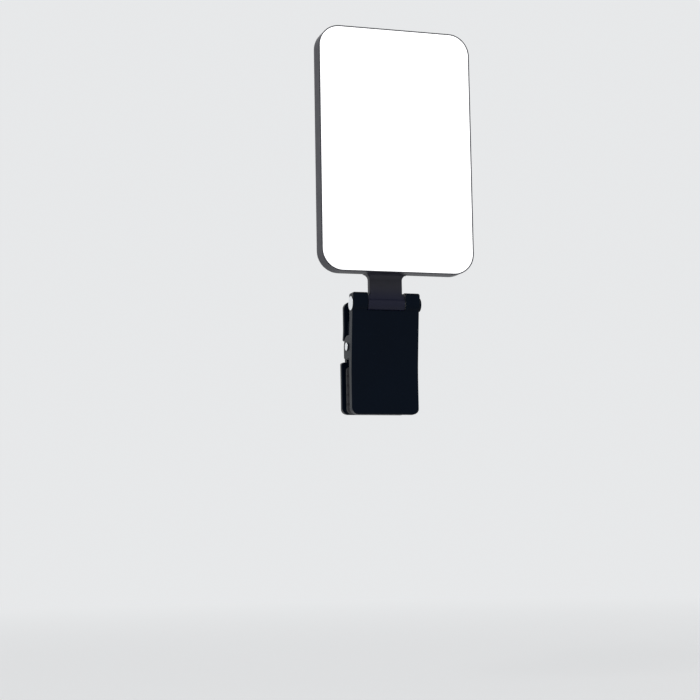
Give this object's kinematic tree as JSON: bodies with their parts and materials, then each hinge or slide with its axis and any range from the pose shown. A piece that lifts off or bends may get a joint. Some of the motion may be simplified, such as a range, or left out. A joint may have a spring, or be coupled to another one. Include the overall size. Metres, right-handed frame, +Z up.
{
  "type": "portable led video light",
  "caption": "Flat rectangular LED light panel on a short neck, hinged to a sprung clip with two padded jaws that grips the edge of a phone.",
  "frame": {"origin": "centre of the contact face of the front jaw's pad", "axes": "+Y from the front jaw towards the back jaw, away from the lit side; +Z up along the panel; +X to the right as seen from the lit side"},
  "size_m": [0.071, 0.0278, 0.1718],
  "materials": {
    "housing": "satin moulded",
    "clip": "satin gloss moulded",
    "diffuser": "milky, softly shining",
    "white_plastic": "moulded",
    "white_board": "solder mask",
    "green_board": "solder mask",
    "led": "phosphor",
    "steel": "zinc plated",
    "dark_steel": "blackened",
    "polished_steel": "polished",
    "socket_steel": "nickel plated",
    "cell_foil": "laminated foil",
    "tape": "foam",
    "component_black": "moulded",
    "clear_plastic": "clear moulded",
    "button": "fine matt",
    "washer": "plain",
    "pad": "soft matt"
  },
  "bodies": {
    "clip": {"front_jaw": "clip", "front_pad": "pad", "tilt_pin": "polished_steel", "tilt_pin_cap": "clip", "friction_washers": "washer", "jaw_pin": "dark_steel", "jaw_spring": "steel"},
    "panel": {"rear_housing": "housing", "diffuser": "diffuser", "reflector_frame": "white_plastic", "led_board": "white_board", "led_chips": "led", "case_screws": "steel", "battery_cell": "cell_foil", "battery_tape": "tape", "control_board": "green_board", "tact_switches": "component_black", "driver_parts": "component_black", "battery_plug": "white_plastic", "charge_socket": "socket_steel", "indicator_lens": "clear_plastic", "indicator_leds": "led"},
    "rear_jaw": {"back_jaw": "clip", "back_pad": "pad"},
    "power_key": {"power_button": "button"},
    "plus_key": {"plus_button": "button"},
    "minus_key": {"minus_button": "button"}
  },
  "joints": [
    {"name": "panel_tilt", "type": "hinge", "parent": "clip", "child": "panel", "pos_m": [0, -0.00572, 0.037], "axis": [1, 0, 0], "range_deg": [-45, 90]},
    {"name": "jaw_pivot", "type": "hinge", "parent": "clip", "child": "rear_jaw", "pos_m": [0, 0.00078, 0.0185], "axis": [1, 0, 0], "range_deg": [-17, 20], "stiffness_Nm_per_rad": 0.25, "springref_deg": -45.84, "deforming": ["jaw_spring"]},
    {"name": "power_press", "type": "slide", "parent": "panel", "child": "power_key", "axis": [0, -1, 0], "range_m": [0, 0.0004], "stiffness_N_per_m": 500},
    {"name": "plus_press", "type": "slide", "parent": "panel", "child": "plus_key", "axis": [0, -1, 0], "range_m": [0, 0.0004], "stiffness_N_per_m": 500},
    {"name": "minus_press", "type": "slide", "parent": "panel", "child": "minus_key", "axis": [0, -1, 0], "range_m": [0, 0.0004], "stiffness_N_per_m": 500}
  ]
}
